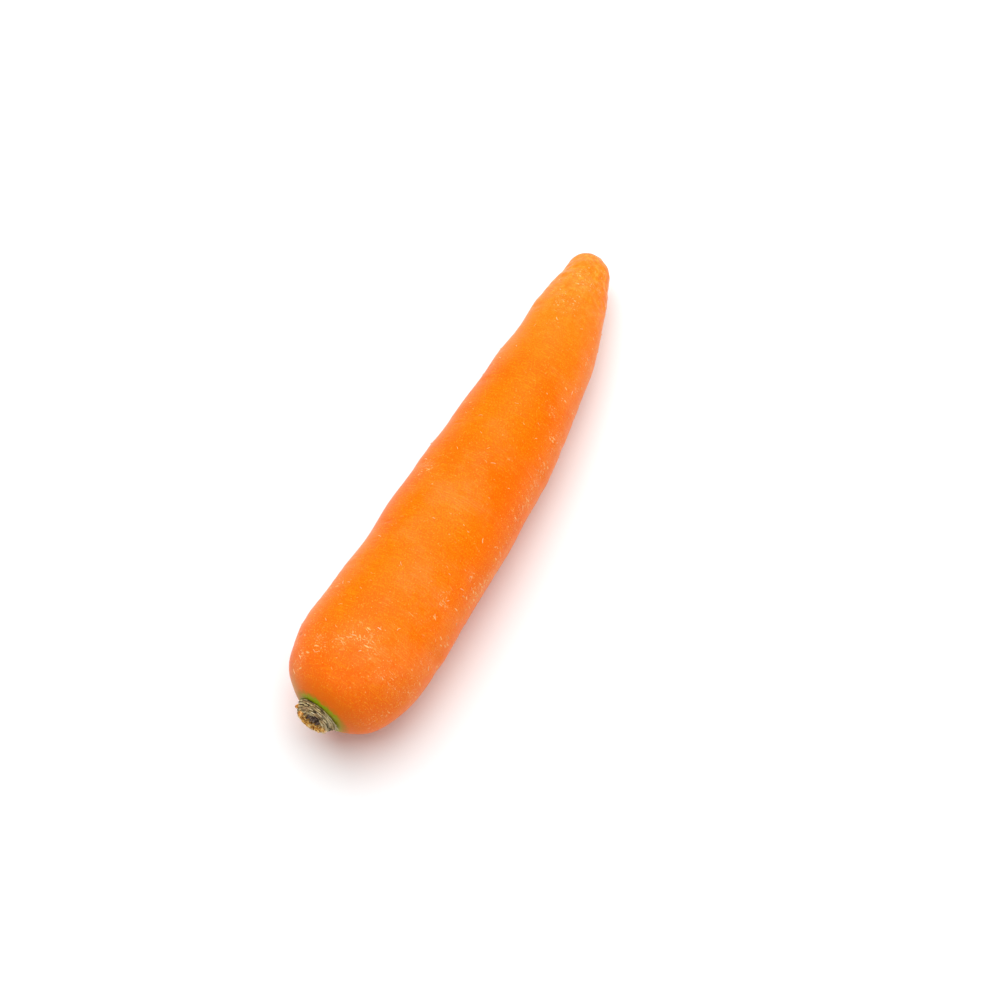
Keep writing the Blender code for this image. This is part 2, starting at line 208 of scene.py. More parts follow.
class Wire:
    """What comes out of a socket of a material. Sums on it add Math nodes to the material."""

    def __init__(self, tree, socket=None):
        self.tree = tree
        self.socket = socket

    def node(self, kind, inputs=None, output=0, stops=None, **settings):
        """Add a node with these settings and these values or wires in its sockets."""
        made = self.tree.nodes.new(kind)
        for name, value in settings.items():
            setattr(made, name, value)
        for place, (position, colour) in enumerate(stops or ()):
            ramp = made.color_ramp.elements
            stop = ramp[place] if place < 2 else ramp.new(position)
            stop.position = position
            stop.color = colour
        for name, value in (inputs or {}).items():
            if isinstance(value, Wire):
                self.tree.links.new(value.socket, made.inputs[name])
            else:
                made.inputs[name].default_value = value
        return Wire(self.tree, made.outputs[output])

    def sum(self, operation, first, second):
        return self.node("ShaderNodeMath", {0: first, 1: second}, operation=operation)

    def __add__(self, other):
        return self.sum("ADD", self, other)

    def __radd__(self, other):
        return self.sum("ADD", other, self)

    def __sub__(self, other):
        return self.sum("SUBTRACT", self, other)

    def __rsub__(self, other):
        return self.sum("SUBTRACT", other, self)

    def __mul__(self, other):
        return self.sum("MULTIPLY", self, other)

    def __rmul__(self, other):
        return self.sum("MULTIPLY", other, self)

    def __truediv__(self, other):
        return self.sum("DIVIDE", self, other)

    def between(self, low, high):
        """0 up to low and 1 from high, smooth in between. High may be the smaller one."""
        return self.node(
            "ShaderNodeMapRange", {0: self, 1: low, 2: high}, interpolation_type="SMOOTHSTEP", clamp=True
        )

    def plain(self, colour):
        """One colour all over, as a start for tints."""
        made = self.node("ShaderNodeRGB")
        made.socket.default_value = colour
        return made

    def tint(self, colour, share):
        """This colour mixed with another one by a share from 0 to 1."""
        return self.node("ShaderNodeMix", {0: share, 6: self, 7: colour}, output=2, data_type="RGBA")

    def scaled(self, factors):
        """This vector with each of its parts multiplied."""
        return self.node("ShaderNodeVectorMath", {0: self, 1: factors}, operation="MULTIPLY")

    def noise(self, scale, detail=2.0, roughness=0.5):
        """Soft blotches, from 0 to 1, over this place."""
        inputs = {"Vector": self, "Scale": scale, "Detail": detail, "Roughness": roughness}
        return self.node("ShaderNodeTexNoise", inputs)


def start_material(name):
    """A new material: its wire, its shader and the place on the object."""
    made = bpy.data.materials.new(name)
    made.use_nodes = True
    wire = Wire(made.node_tree)
    shader = made.node_tree.nodes["Principled BSDF"]
    return made, wire, shader, wire.node("ShaderNodeTexCoord", output="Object")


def feed(wire, shader, **sockets):
    """Link wires to the shader's sockets, named with _ for a space."""
    for name, value in sockets.items():
        wire.tree.links.new(value.socket, shader.inputs[name.replace("_", " ")])


def srgb(red, green, blue):
    """A colour given as it shows on a screen, 0 to 255, as the shader's linear one."""
    shares = [value / 255 for value in (red, green, blue)]
    return (*[s / 12.92 if s < 0.04045 else ((s + 0.055) / 1.055) ** 2.4 for s in shares], 1.0)


skin_paint, wire, shader, place = start_material("carrot_skin")
map_wire = wire.node("ShaderNodeUVMap", uv_map="unrolled")
# The map in millimetres of skin.
skin_mm = map_wire.scaled((MAP_LENGTH / MM, MAP_ROUND / MM, 0.0))
run_mm = skin_mm.node("ShaderNodeSeparateXYZ", {0: skin_mm})
scuffed = wire.node("ShaderNodeAttribute", output="Fac", attribute_name="scuff")
slit = wire.node("ShaderNodeAttribute", output="Fac", attribute_name="slit")

ORANGE = srgb(255, 115, 0)
DEEP_ORANGE = srgb(250, 101, 0)
LIGHT_ORANGE = srgb(255, 125, 2)
YELLOW_ORANGE = srgb(255, 146, 14)
PALE_FLECK = srgb(255, 196, 122)
SCUFFED_ORANGE = srgb(255, 138, 66)
SHOULDER_TONE_AND_SHADE = srgb(232, 108, 36)
BLOOM_AND_HIGHLIGHT_ORANGE = srgb(255, 148, 76)
TIP_YELLOW = srgb(255, 170, 58)
SLIT_BROWN = srgb(196, 92, 14)
SPECK_BROWN = srgb(160, 78, 20)

# Blotches a few centimetres wide, mottling of a few millimetres, and a grain across the root.
blotches = place.noise(38.0, 2.0)
mottle = place.noise(300.0, 3.0, 0.6)
grain = place.noise(2100.0, 3.0, 0.65)
streaks = skin_mm.scaled((1.35, 0.13, 0.0)).noise(1.0, 3.0, 0.6)
fibres = skin_mm.scaled((2.7, 0.22, 0.0)).noise(1.0, 3.0, 0.65)
# Where the skin is paler: partly a dull bloom, partly a painted highlight.
bloom_and_highlight = place.noise(45.0, 5.0, 0.62).between(0.44, 0.68)
light_share = 0.65 * blotches.between(0.5, 0.68) + 0.4 * mottle.between(0.52, 0.72)
deep_share = 0.6 * blotches.between(0.48, 0.34) + 0.4 * mottle.between(0.46, 0.3)
colour = wire.plain(ORANGE)
colour = colour.tint(LIGHT_ORANGE, light_share)
colour = colour.tint(DEEP_ORANGE, deep_share)
# The shoulder is a little duller than the rest: partly its own tone, partly painted shade at the crown end,
# which faces away from the light.
colour = colour.tint(SHOULDER_TONE_AND_SHADE, 0.45 * run_mm.between(36.0, 8.0))
colour = colour.tint(YELLOW_ORANGE, 0.35 * streaks.between(0.54, 0.7))
colour = colour.tint(YELLOW_ORANGE, 0.65 * grain.between(0.51, 0.66))
colour = colour.tint(DEEP_ORANGE, 0.95 * grain.between(0.49, 0.34))
fibrous = place.noise(120.0, 2.0).between(0.4, 0.62)
fibrous = 0.2 + 0.4 * fibrous + 0.3 * run_mm.between(100.0, 135.0) * run_mm.between(175.0, 150.0)
colour = colour.tint(YELLOW_ORANGE, fibrous * fibres.between(0.54, 0.68))
colour = colour.tint(YELLOW_ORANGE, 0.45 * run_mm.between(125.0, 186.0))
# A dull bloom lies on parts of the skin, most of it towards the tip; these pale patches are partly that
# bloom and partly a painted highlight.
colour = colour.tint(BLOOM_AND_HIGHLIGHT_ORANGE, (0.2 + 0.1 * run_mm.between(110.0, 150.0)) * bloom_and_highlight)
colour = colour.tint(BLOOM_AND_HIGHLIGHT_ORANGE, 0.45 * bloom_and_highlight * fibres.between(0.52, 0.64))
colour = colour.tint(BLOOM_AND_HIGHLIGHT_ORANGE, 0.06 * run_mm.between(120.0, 150.0))
# The knobbly end is yellower, with deep orange in its hollows.
knobbly = place.noise(540.0, 3.0, 0.6)
near_tip = run_mm.between(144.0, 186.0)
colour = colour.tint(TIP_YELLOW, 0.65 * knobbly.between(0.5, 0.64) * near_tip)
colour = colour.tint(DEEP_ORANGE, 0.5 * knobbly.between(0.47, 0.34) * near_tip)
colour = colour.tint(SCUFFED_ORANGE, 0.38 * scuffed * (0.4 + mottle))

# Pale marks: dashes, scratches, dots, strokes and grains, a few everywhere and many where the skin
# is scuffed.
crooked = place.noise(900.0, 2.0)
wander = wire.node("ShaderNodeCombineXYZ", {0: 0.7 * (crooked - 0.5), 1: 0.7 * (mottle - 0.5)})
bent_mm = skin_mm.node("ShaderNodeVectorMath", {0: skin_mm, 1: wander}, operation="ADD")


def marks_layer(slant, cells, reach, some, more, seed):
    """Small marks at a slant across the root, in a share of the cells: some, and more in scuffs."""
    turned = bent_mm.node(
        "ShaderNodeVectorRotate", {0: bent_mm, 3: math.radians(slant)}, rotation_type="Z_AXIS"
    )
    moved = {0: turned.scaled(cells), 1: (seed, 1.7 * seed, 0.0)}
    inputs = {"Vector": turned.node("ShaderNodeVectorMath", moved, operation="ADD"), "Scale": 1.0}
    distance = wire.node("ShaderNodeTexVoronoi", inputs, output="Distance", voronoi_dimensions="2D")
    cell = wire.node("ShaderNodeTexVoronoi", inputs, output="Color", voronoi_dimensions="2D")
    chance = cell.node("ShaderNodeSeparateXYZ", {0: cell})
    size = cell.node("ShaderNodeSeparateXYZ", {0: cell}, output=1)
    edge = reach * (0.3 + 0.9 * size)
    chosen = (chance + some + more * scuffed - 1.0).between(0.0, 0.05)
    return (edge - distance).between(-0.05, 0.08) * chosen


def strokes_layer(slant, wide, long, seed):
    """Ragged strokes at a slant across the root, many in scuffs and few elsewhere."""
    turned = bent_mm.node(
        "ShaderNodeVectorRotate", {0: bent_mm, 3: math.radians(slant)}, rotation_type="Z_AXIS"
    )
    moved = {0: turned.scaled((wide, long, 0.0)), 1: (seed, 1.7 * seed, 0.0)}
    frayed = turned.node("ShaderNodeVectorMath", moved, operation="ADD").noise(1.0, 3.0, 0.6)
    return (frayed + 0.16 * scuffed).between(0.7, 0.75)


dashes = marks_layer(-8, (1.0, 0.34, 0.0), 0.22, 0.014, 0.24, 3.1)
scratches = marks_layer(22, (1.1, 0.34, 0.0), 0.2, 0.014, 0.24, 8.4)
long_scratches = marks_layer(14, (1.3, 0.12, 0.0), 0.12, 0.02, 0.3, 23.5)
dots = marks_layer(0, (0.9, 0.8, 0.0), 0.17, 0.03, 0.1, 11.7)
strokes = strokes_layer(-12, 1.9, 0.6, 4.3) + strokes_layer(28, 1.8, 0.55, 9.1)
strokes = strokes + strokes_layer(62, 1.9, 0.7, 31.0)
grainy_ends = 0.09 * scuffed + 0.03 * near_tip + 0.03 * run_mm.between(45.0, 15.0)
granular = (place.noise(2100.0, 2.0, 0.6) + grainy_ends).between(0.67, 0.77)
flecks = dashes + scratches + 0.45 * long_scratches + 0.8 * dots + 0.75 * strokes + 0.5 * granular
flecks = flecks.node("ShaderNodeClamp", {0: flecks})
colour = colour.tint(PALE_FLECK, 0.9 * flecks)

# Slits are a little darker inside, and a few specks of soil stay in the skin.
colour = colour.tint(SLIT_BROWN, 0.3 * slit.between(0.3, 0.9))
specks = marks_layer(0, (0.42, 0.4, 0.0), 0.07, 0.03, 0.05, 17.3)
colour = colour.tint(SPECK_BROWN, 0.45 * specks)

# Green where the shoulder stood out of the soil, in a ring round the leaf stalks.
_, stub_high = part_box("leaf_stalk_stub")
stub_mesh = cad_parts["leaf_stalk_stub"].data
foot_faces = [f for f in stub_mesh.polygons if f.normal.x > 0.97 and f.center.x > stub_high.x - 2 * MM]
foot_area = sum(face.area for face in foot_faces)
foot = sum((face.center * face.area for face in foot_faces), Vector()) / foot_area
outward = -sum((face.normal * face.area for face in foot_faces), Vector()).normalized()
STUB_SUNK = 1.3 * MM
crown = foot + STUB_SUNK * outward
CROWN_GREEN = srgb(140, 158, 0)
CROWN_OLIVE = srgb(140, 136, 30)
CROWN_BROWN = srgb(182, 122, 8)
CROWN_RUST_AND_SHADE = srgb(226, 104, 6)
CROWN_TAN = srgb(184, 150, 70)
from_crown = place.node("ShaderNodeVectorMath", {0: place, 1: tuple(crown)}, operation="SUBTRACT")
ring = from_crown.node("ShaderNodeVectorMath", {0: from_crown}, output="Value", operation="LENGTH") / MM
sideways = from_crown.node("ShaderNodeSeparateXYZ", {0: from_crown}, output=1) / MM
ring = ring + 2.4 * (place.noise(200.0, 2.0) - 0.5) + 1.8 * (place.noise(900.0, 3.0) - 0.5)
ring = ring + 0.1 * sideways
greener = (0.5 + 0.9 * place.noise(330.0, 2.0)) * sideways.between(-10.5, -6.5) * sideways.between(8.0, 3.0)
turn_mm = skin_mm.node("ShaderNodeSeparateXYZ", {0: skin_mm}, output=1)
left_flank = turn_mm.between(62.0, 72.0) * turn_mm.between(88.0, 78.0)
# Rusty orange near the crown: partly the root's own rust between green and orange, partly painted shade
# that darkens the crown end.
colour = colour.tint(CROWN_RUST_AND_SHADE, 0.75 * ring.between(17.0, 10.0))
colour = colour.tint(CROWN_TAN, 0.55 * left_flank * (run_mm + 9.0 * (mottle - 0.5)).between(11.0, 3.0))
colour = colour.tint(CROWN_BROWN, 0.8 * ring.between(10.6, 8.8))
colour = colour.tint(CROWN_GREEN, greener * ring.between(9.5, 8.5))
colour = colour.tint(CROWN_OLIVE, 0.8 * ring.between(8.0, 7.3))

shader.inputs["Subsurface Weight"].default_value = 0.08
shader.inputs["Subsurface Radius"].default_value = (1.0, 0.3, 0.05)
shader.inputs["Subsurface Scale"].default_value = 2 * MM
shader.inputs["Specular IOR Level"].default_value = 0.055
fine_relief = 0.4 * streaks + 0.6 * grain + 0.4 * fibres + 0.3 * mottle + 0.6 * flecks
surface = wire.node("ShaderNodeBump", {"Strength": 0.5, "Distance": 0.16 * MM, "Height": fine_relief})
feed(wire, shader, Base_Color=colour, Roughness=0.28 + 0.25 * flecks + 0.1 * mottle, Normal=surface)
skin.data.materials.clear()
skin.data.materials.append(skin_paint)
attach(skin, "root")
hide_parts("taproot")


# Slivers of skin and ends of fine side roots that washing lifted and didn't tear off. They are
# pale, dry and thinner than a thread, and lie against the skin.
SLIVER_POINTS = 7
STREWN_FAR = 90
STREWN_NEAR = 60
# Each sliver: its run in millimetres and its turn.
slivers_at = [
    (58.6, -0.99), (46.6, -0.83), (45.2, -0.8), (47.8, -0.88), (44.9, -1.3), (51.1, -1.33), (39.9, -1.3),
    (18.0, 0.5), (13.7, 0.39), (11.4, 0.82), (7.6, 1.06), (22.0, 0.0), (20.6, 0.06), (18.5, 0.1),
    (25.2, -0.12), (30.7, -0.48), (14.4, -1.3), (15.2, -0.85), (109.7, 0.72), (109.5, 0.37),
    (123.8, -0.74), (122.6, -0.8), (116.7, -1.21), (113.5, -1.16), (98.8, -0.09), (88.8, 0.86),
    (84.7, 0.69), (84.4, 1.03), (86.0, 0.98), (79.2, 0.38), (83.6, -0.52), (68.3, 0.03), (70.0, -0.53),
    (72.6, -1.1), (77.4, -1.33), (73.0, -1.3), (49.7, 0.05), (59.2, -1.01), (54.0, -0.99), (93.8, -1.42),
    (105.3, -1.27), (108.9, -1.22), (85.9, -1.27), (88.8, -1.5), (166.8, 0.27), (176.6, 0.32),
    (176.4, -0.13), (164.3, -0.13), (155.5, 0.05), (182.0, -0.71), (136.2, -1.1), (135.0, -1.02),
    (150.3, -1.14), (37.2, 0.35), (23.3, -1.03), (15.4, -0.71),
]
draw = random.Random(34)
for _ in range(STREWN_FAR):
    slivers_at.append((draw.uniform(8, 186), draw.uniform(1.1, 2 * math.pi - 1.2)))
for _ in range(STREWN_NEAR):
    slivers_at.append((draw.uniform(8, 186), draw.uniform(-1.4, 1.1)))


def start_strands(name):
    """A curve whose points' radii are the thickness of its strands."""
    curve = bpy.data.curves.new(name, "CURVE")
    curve.dimensions = "3D"
    curve.bevel_depth = 1.0
    curve.bevel_resolution = 1
    curve.use_fill_caps = True
    return curve


def strands_to_mesh(curve):
    """The strands as one mesh object that has the curve's name."""
    strands = bpy.data.objects.new(curve.name, curve)
    bpy.context.scene.collection.objects.link(strands)
    bpy.ops.object.select_all(action="DESELECT")
    strands.select_set(True)
    bpy.context.view_layer.objects.active = strands
    bpy.ops.object.convert(target="MESH")
    bpy.ops.object.shade_smooth()
    return bpy.context.object


sliver_curve = start_strands("skin_slivers")
sliver_tones = []
for sliver_run, sliver_turn in slivers_at:
    heading = draw.gauss(math.radians(80), math.radians(28))
    reach = draw.uniform(0.5, 1.7) * MM
    curl = draw.uniform(-0.9, 0.9)
    thickness = draw.uniform(0.07, 0.15) * MM
    lifted = draw.choice((0.0, 0.0, 0.05, 0.25)) * MM
    strand = sliver_curve.splines.new("POLY")
    strand.points.add(SLIVER_POINTS - 1)
    for step, point in enumerate(strand.points):
        share = step / (SLIVER_POINTS - 1)
        along = reach * (share - 0.5)
        run_now = sliver_run * MM + along * math.cos(heading + curl * share)
        turn_now = sliver_turn + along * math.sin(heading + curl * share) / MEAN_RADIUS
        x = crown_x + run_now
        middle = Vector((x, middle_y(x), middle_z(x)))
        ray = Vector((0, math.sin(turn_now), math.cos(turn_now)))
        _, found, facing, _ = skin.ray_cast(middle, ray)
        found = found + (0.3 * thickness + lifted * share**2) * facing
        found.z = max(found.z, thickness)
        point.co = (*found, 1)
        point.radius = thickness * (1 - 0.8 * abs(2 * share - 1) ** 2.5)
    sliver_tones.append(draw.random())
slivers = strands_to_mesh(sliver_curve)

paint_points(slivers.data, "tone", np.repeat(sliver_tones, len(slivers.data.vertices) // len(slivers_at)))
sliver_paint, wire, shader, place = start_material("skin_sliver")
tone = wire.node("ShaderNodeAttribute", output="Fac", attribute_name="tone")
worn = place.noise(1500.0, 2.0, 0.6)
sliver_stops = ((0.0, srgb(248, 158, 76)), (0.5, srgb(254, 190, 116)), (1.0, srgb(255, 216, 162)))
colour = wire.node("ShaderNodeValToRGB", {0: tone + 0.5 * (worn - 0.5)}, stops=sliver_stops)
shader.inputs["Specular IOR Level"].default_value = 0.2
feed(wire, shader, Base_Color=colour, Roughness=0.5 + 0.3 * worn)
slivers.data.materials.append(sliver_paint)
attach(slivers, "root")


# The wall of the stub: the fibrous feet of leaves that died and were shed while the root grew.
# They sit round the crown in ragged rings, dry and straw-coloured on the ridges; the dark between them is
# painted shade in the grooves and the crack.
STUB_HEIGHT = 4.0 * MM
CUT_SLANT = 0.09
CUT_TILT = 0.15
STUB_LEAN = 0.12
FOOT_PINCH = 0.12
WALL_SIDES = 150
WALL_FOOT = 5.8 * MM
# Each ring: its height, its radius, and how deep the groove above it is.
SHED_RINGS = (
    (0.30 * MM, 7.05 * MM, 0.35 * MM), (0.92 * MM, 6.85 * MM, 0.45 * MM), (1.52 * MM, 6.5 * MM, 0.55 * MM),
    (2.14 * MM, 5.95 * MM, 0.4 * MM), (2.68 * MM, 5.6 * MM, 0.4 * MM),
)
WALL_TOP = 3.15 * MM
HOLLOW_RADIUS = 4.85 * MM
HOLLOW_FLOOR = 1.7 * MM
# A crack where the outermost living stalk stands off from the shed ones.
CRACK_TURN = -2.7
CRACK_HEIGHT = 2.2 * MM
CRACK_DEPTH = 1.3 * MM
RIPPLE_HEIGHT = 0.22 * MM
FRINGE_HEIGHT = 0.14 * MM
WAVE_HEIGHT = 0.34 * MM

# Upright pieces are made at the origin, and then set on the crown with their foot at its skin.
sideways_on_crown = (Vector((0, 1, 0)) - outward.y * outward).normalized()
down_on_crown = outward.cross(sideways_on_crown)
crown_frame = Matrix((sideways_on_crown, down_on_crown, outward)).transposed().to_4x4()
crown_frame = Matrix.Translation(crown) @ crown_frame


def set_on_crown(piece):
    """Slant and lean the piece as the knife and the growth left the stub, and move it there."""
    points, _ = read_points(piece.data)
    above = np.maximum(points[:, 2], 0)
    points[:, 2] += above / STUB_HEIGHT * (CUT_SLANT * points[:, 0] + CUT_TILT * points[:, 1])
    points[:, 0] -= STUB_LEAN * above
    points[:, 0] -= FOOT_PINCH * np.maximum(points[:, 0], 0) * np.clip(1 - points[:, 2] / (2 * MM), 0, 1)
    write_points(piece.data, points)
    piece.data.transform(crown_frame)
    piece.data.update()


def rough(points, pitch, seed):
    """Smooth noise from -1 to 1 at each point, with bumps of about this pitch."""
    return np.array([noise.noise(Vector(place) / pitch + Vector((seed, 0, 0))) for place in points])


# The wall's outline from its foot up, over the rings, and down into the hollow: height and radius.
wall_outline = [(-0.1 * MM, 5.9 * MM), (-0.08 * MM, 7.25 * MM)]
for ring_height, ring_radius, groove in SHED_RINGS:
    wall_outline.append((ring_height - 0.14 * MM, ring_radius - 0.1 * MM))
    wall_outline.append((ring_height + 0.04 * MM, ring_radius))
    wall_outline.append((ring_height + 0.2 * MM, ring_radius - 0.16 * MM))
    wall_outline.append((ring_height + 0.32 * MM, ring_radius - groove))
wall_outline += [(WALL_TOP, 5.15 * MM), (WALL_TOP - 0.05 * MM, HOLLOW_RADIUS)]
wall_outline += [(WALL_TOP - 0.5 * MM, HOLLOW_RADIUS - 0.15 * MM)]
wall_outline += [(HOLLOW_FLOOR + 0.4 * MM, HOLLOW_RADIUS - 0.4 * MM), (HOLLOW_FLOOR, 0.8 * HOLLOW_RADIUS)]
wall_outline += [(HOLLOW_FLOOR, 0.4 * HOLLOW_RADIUS)]
bpy.ops.object.select_all(action="DESELECT")
bpy.ops.mesh.primitive_circle_add(
    vertices=WALL_SIDES, radius=WALL_FOOT, fill_type="NGON", location=(0, 0, -STUB_SUNK)
)
wall = bpy.context.object
wall.name = "shed_leaf_rings"
bpy.ops.object.transform_apply(location=True)
bpy.ops.object.mode_set(mode="EDIT")
bpy.ops.mesh.select_all(action="SELECT")
last_height, last_radius = -STUB_SUNK, WALL_FOOT
for height_now, radius_now in wall_outline:
    bpy.ops.mesh.extrude_region_move(TRANSFORM_OT_translate={"value": (0, 0, height_now - last_height)})
    share = radius_now / last_radius
    bpy.ops.transform.resize(value=(share, share, 1), center_override=(0, 0, height_now))
    last_height, last_radius = height_now, radius_now
bpy.ops.mesh.poke()
bpy.ops.mesh.select_all(action="SELECT")
bpy.ops.mesh.normals_make_consistent(inside=False)
bpy.ops.object.mode_set(mode="OBJECT")
finer = wall.modifiers.new("finer", "SUBSURF")
finer.levels = 1
finer.render_levels = 1
bpy.ops.object.modifier_apply(modifier=finer.name)
points, _ = read_points(wall.data)
from_axis = np.hypot(points[:, 0], points[:, 1])
ring_heights = [ring_height for ring_height, _, _ in SHED_RINGS] + [WALL_TOP]
ring_radii = [ring_radius for _, ring_radius, _ in SHED_RINGS] + [5.2 * MM]
below_ridges = np.interp(points[:, 2], ring_heights, ring_radii) - from_axis
in_groove = np.clip(below_ridges / (0.4 * MM), 0, 1) * (from_axis > 4.8 * MM)
round_stub = points / np.stack([from_axis.clip(1e-6), from_axis.clip(1e-6), np.ones(len(points))], 1)
on_wall = (points[:, 2] > 0.02 * MM) & (from_axis > HOLLOW_RADIUS - 0.1 * MM)
ripple = rough(round_stub * (2.2, 2.2, 1 / (1.1 * MM)), 1.0, 2.0)
fringe = rough(round_stub * (11.0, 11.0, 1 / (0.35 * MM)), 1.0, 7.0)
crack_turn = (np.arctan2(points[:, 1], points[:, 0]) - CRACK_TURN + math.pi) % (2 * math.pi) - math.pi
crack = bump(crack_turn, 0.5) * bump(points[:, 2] - CRACK_HEIGHT, 0.34 * MM)
crack *= from_axis > 5 * MM
ragged_out = (RIPPLE_HEIGHT * ripple + FRINGE_HEIGHT * fringe - CRACK_DEPTH * crack) * on_wall
points[:, 0] += ragged_out * round_stub[:, 0]
points[:, 1] += ragged_out * round_stub[:, 1]
points[:, 2] += WAVE_HEIGHT * rough(round_stub * (1.8, 1.8, 1 / (1.8 * MM)), 1.0, 12.0) * on_wall
write_points(wall.data, points)
# Where the grooves and the crack are, for the painted shade there.
in_groove = np.maximum(in_groove + 0.5 * fringe * (in_groove > 0.1), 1.4 * crack)
paint_points(wall.data, "groove", np.clip(in_groove, 0, 1))
paint_points(wall.data, "level", points[:, 2] / MM)
paint_points(wall.data, "below", points[:, 1] / MM)
paint_points(wall.data, "aside", points[:, 0] / MM)
paint_points(wall.data, "inside", (from_axis < HOLLOW_RADIUS + 0.02 * MM) * 1.0)
bpy.ops.object.shade_smooth()
set_on_crown(wall)

wall_paint, wire, shader, place = start_material("dry_leaf_feet")
STRAW = srgb(236, 220, 174)
TAN = srgb(172, 140, 100)
OLIVE_GREY = srgb(124, 102, 72)
DARK_STRAND_AND_GROOVE_SHADE = srgb(34, 25, 14)
LEAF_GREEN = srgb(126, 130, 34)
WALL_RIM_HIGHLIGHT = srgb(252, 214, 166)
HOLLOW_SHADE_BROWN = srgb(74, 56, 38)
groove = wire.node("ShaderNodeAttribute", output="Fac", attribute_name="groove")
level = wire.node("ShaderNodeAttribute", output="Fac", attribute_name="level")
blot = place.noise(600.0, 3.0, 0.6)
strand_noise = wire.node("ShaderNodeCombineXYZ", {0: 2.3 * level, 1: 2.6 * place.noise(260.0, 2.0)})
strand_noise = strand_noise.noise(1.0, 3.0, 0.7)
colour = wire.plain(TAN)
colour = colour.tint(OLIVE_GREY, 0.9 * blot.between(0.52, 0.6))
colour = colour.tint(STRAW, 0.9 * strand_noise.between(0.55, 0.62))
colour = colour.tint(DARK_STRAND_AND_GROOVE_SHADE, 0.85 * strand_noise.between(0.47, 0.4))
colour = colour.tint(LEAF_GREEN, 0.4 * level.between(1.0, 0.1) * blot.between(0.44, 0.56))
# Painted shade: the grooves between the rings and the crack are painted nearly black.
colour = colour.tint(DARK_STRAND_AND_GROOVE_SHADE, 0.95 * groove.between(0.25, 0.8))
aside = wire.node("ShaderNodeAttribute", output="Fac", attribute_name="aside")
colour = colour.tint(STRAW, 0.4 * aside.between(-2.5, -5.5))
# Painted highlight: the top of the wall on its lower side is painted pale peach, as if light catches the
# rim there.
below = wire.node("ShaderNodeAttribute", output="Fac", attribute_name="below")
colour = colour.tint(WALL_RIM_HIGHLIGHT, 0.85 * level.between(2.5, 2.9) * below.between(0.0, 1.6))
# Painted shade: the inside of the hollow is painted dark brown, all but its lower side, which faces up.
inside = wire.node("ShaderNodeAttribute", output="Fac", attribute_name="inside")
colour = colour.tint(HOLLOW_SHADE_BROWN, 0.85 * inside * below.between(3.6, 3.0))
strand_relief = strand_noise + 0.5 * blot
surface = wire.node("ShaderNodeBump", {"Strength": 0.8, "Distance": 0.2 * MM, "Height": strand_relief})
shader.inputs["Specular IOR Level"].default_value = 0.2
feed(wire, shader, Base_Color=colour, Roughness=0.75 + 0.2 * blot, Normal=surface)
wall.data.materials.append(wall_paint)
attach(wall, "root")
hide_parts("leaf_stalk_stub")


# Loose fibres of the shed leaf feet, which lie along the rings of the wall. They are strands of
# the leaves' own wood, dried to straw, broken off short and held at one end.
FIBRES = 120
FIBRE_POINTS = 14
LOWEST_FIBRE = 0.1 * MM
draw = random.Random(21)
fibre_curve = start_strands("loose_fibres")
fibre_tones = []
for _ in range(FIBRES):
    start = draw.uniform(-math.pi, math.pi)
    reach = draw.uniform(0.15, 0.62)
    ring_height, ring_radius, _ = draw.choice(SHED_RINGS)
    level = ring_height + draw.uniform(-0.2, 0.2) * MM
    climb = draw.choice((0.0, 0.1, -0.1, 0.35, -0.3)) * MM
    thickness = draw.uniform(0.09, 0.22) * MM
    lift = draw.choice((0.0, 0.0, 0.1, 0.3)) * MM
    seed = draw.uniform(0, 50)
    fibre_tones.append(draw.random())
    strand = fibre_curve.splines.new("POLY")
    strand.points.add(FIBRE_POINTS - 1)
    for step, point in enumerate(strand.points):
        share = step / (FIBRE_POINTS - 1)
        turn_now = start + reach * share
        wobble = noise.noise(Vector((2.5 * share, seed, 0)))
        level_now = max(level + climb * share + 0.15 * MM * wobble, LOWEST_FIBRE)
        radius = float(np.interp(level_now, ring_heights, ring_radii))
        radius += 0.02 * MM + 0.08 * MM * wobble + lift * share**3
        point.co = (radius * math.cos(turn_now), radius * math.sin(turn_now), level_now, 1)
        point.radius = thickness * (1 - 0.75 * abs(2 * share - 1) ** 3)
fibres_piece = strands_to_mesh(fibre_curve)
points_in_fibre = len(fibres_piece.data.vertices) // FIBRES
paint_points(fibres_piece.data, "tone", np.repeat(fibre_tones, points_in_fibre))
set_on_crown(fibres_piece)

fibre_paint, wire, shader, place = start_material("straw_fibre")
tone = wire.node("ShaderNodeAttribute", output="Fac", attribute_name="tone")
worn = place.noise(1600.0, 2.0, 0.6)
fibre_stops = (
    (0.0, srgb(44, 34, 18)), (0.3, srgb(96, 82, 46)), (0.55, srgb(146, 124, 76)),
    (0.8, srgb(206, 184, 130)), (1.0, srgb(240, 224, 184)),
)
colour = wire.node("ShaderNodeValToRGB", {0: tone + 0.5 * (worn - 0.5)}, stops=fibre_stops)
shader.inputs["Specular IOR Level"].default_value = 0.25
feed(wire, shader, Base_Color=colour, Roughness=0.55 + 0.3 * worn)
fibres_piece.data.materials.append(fibre_paint)
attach(fibres_piece, "root")


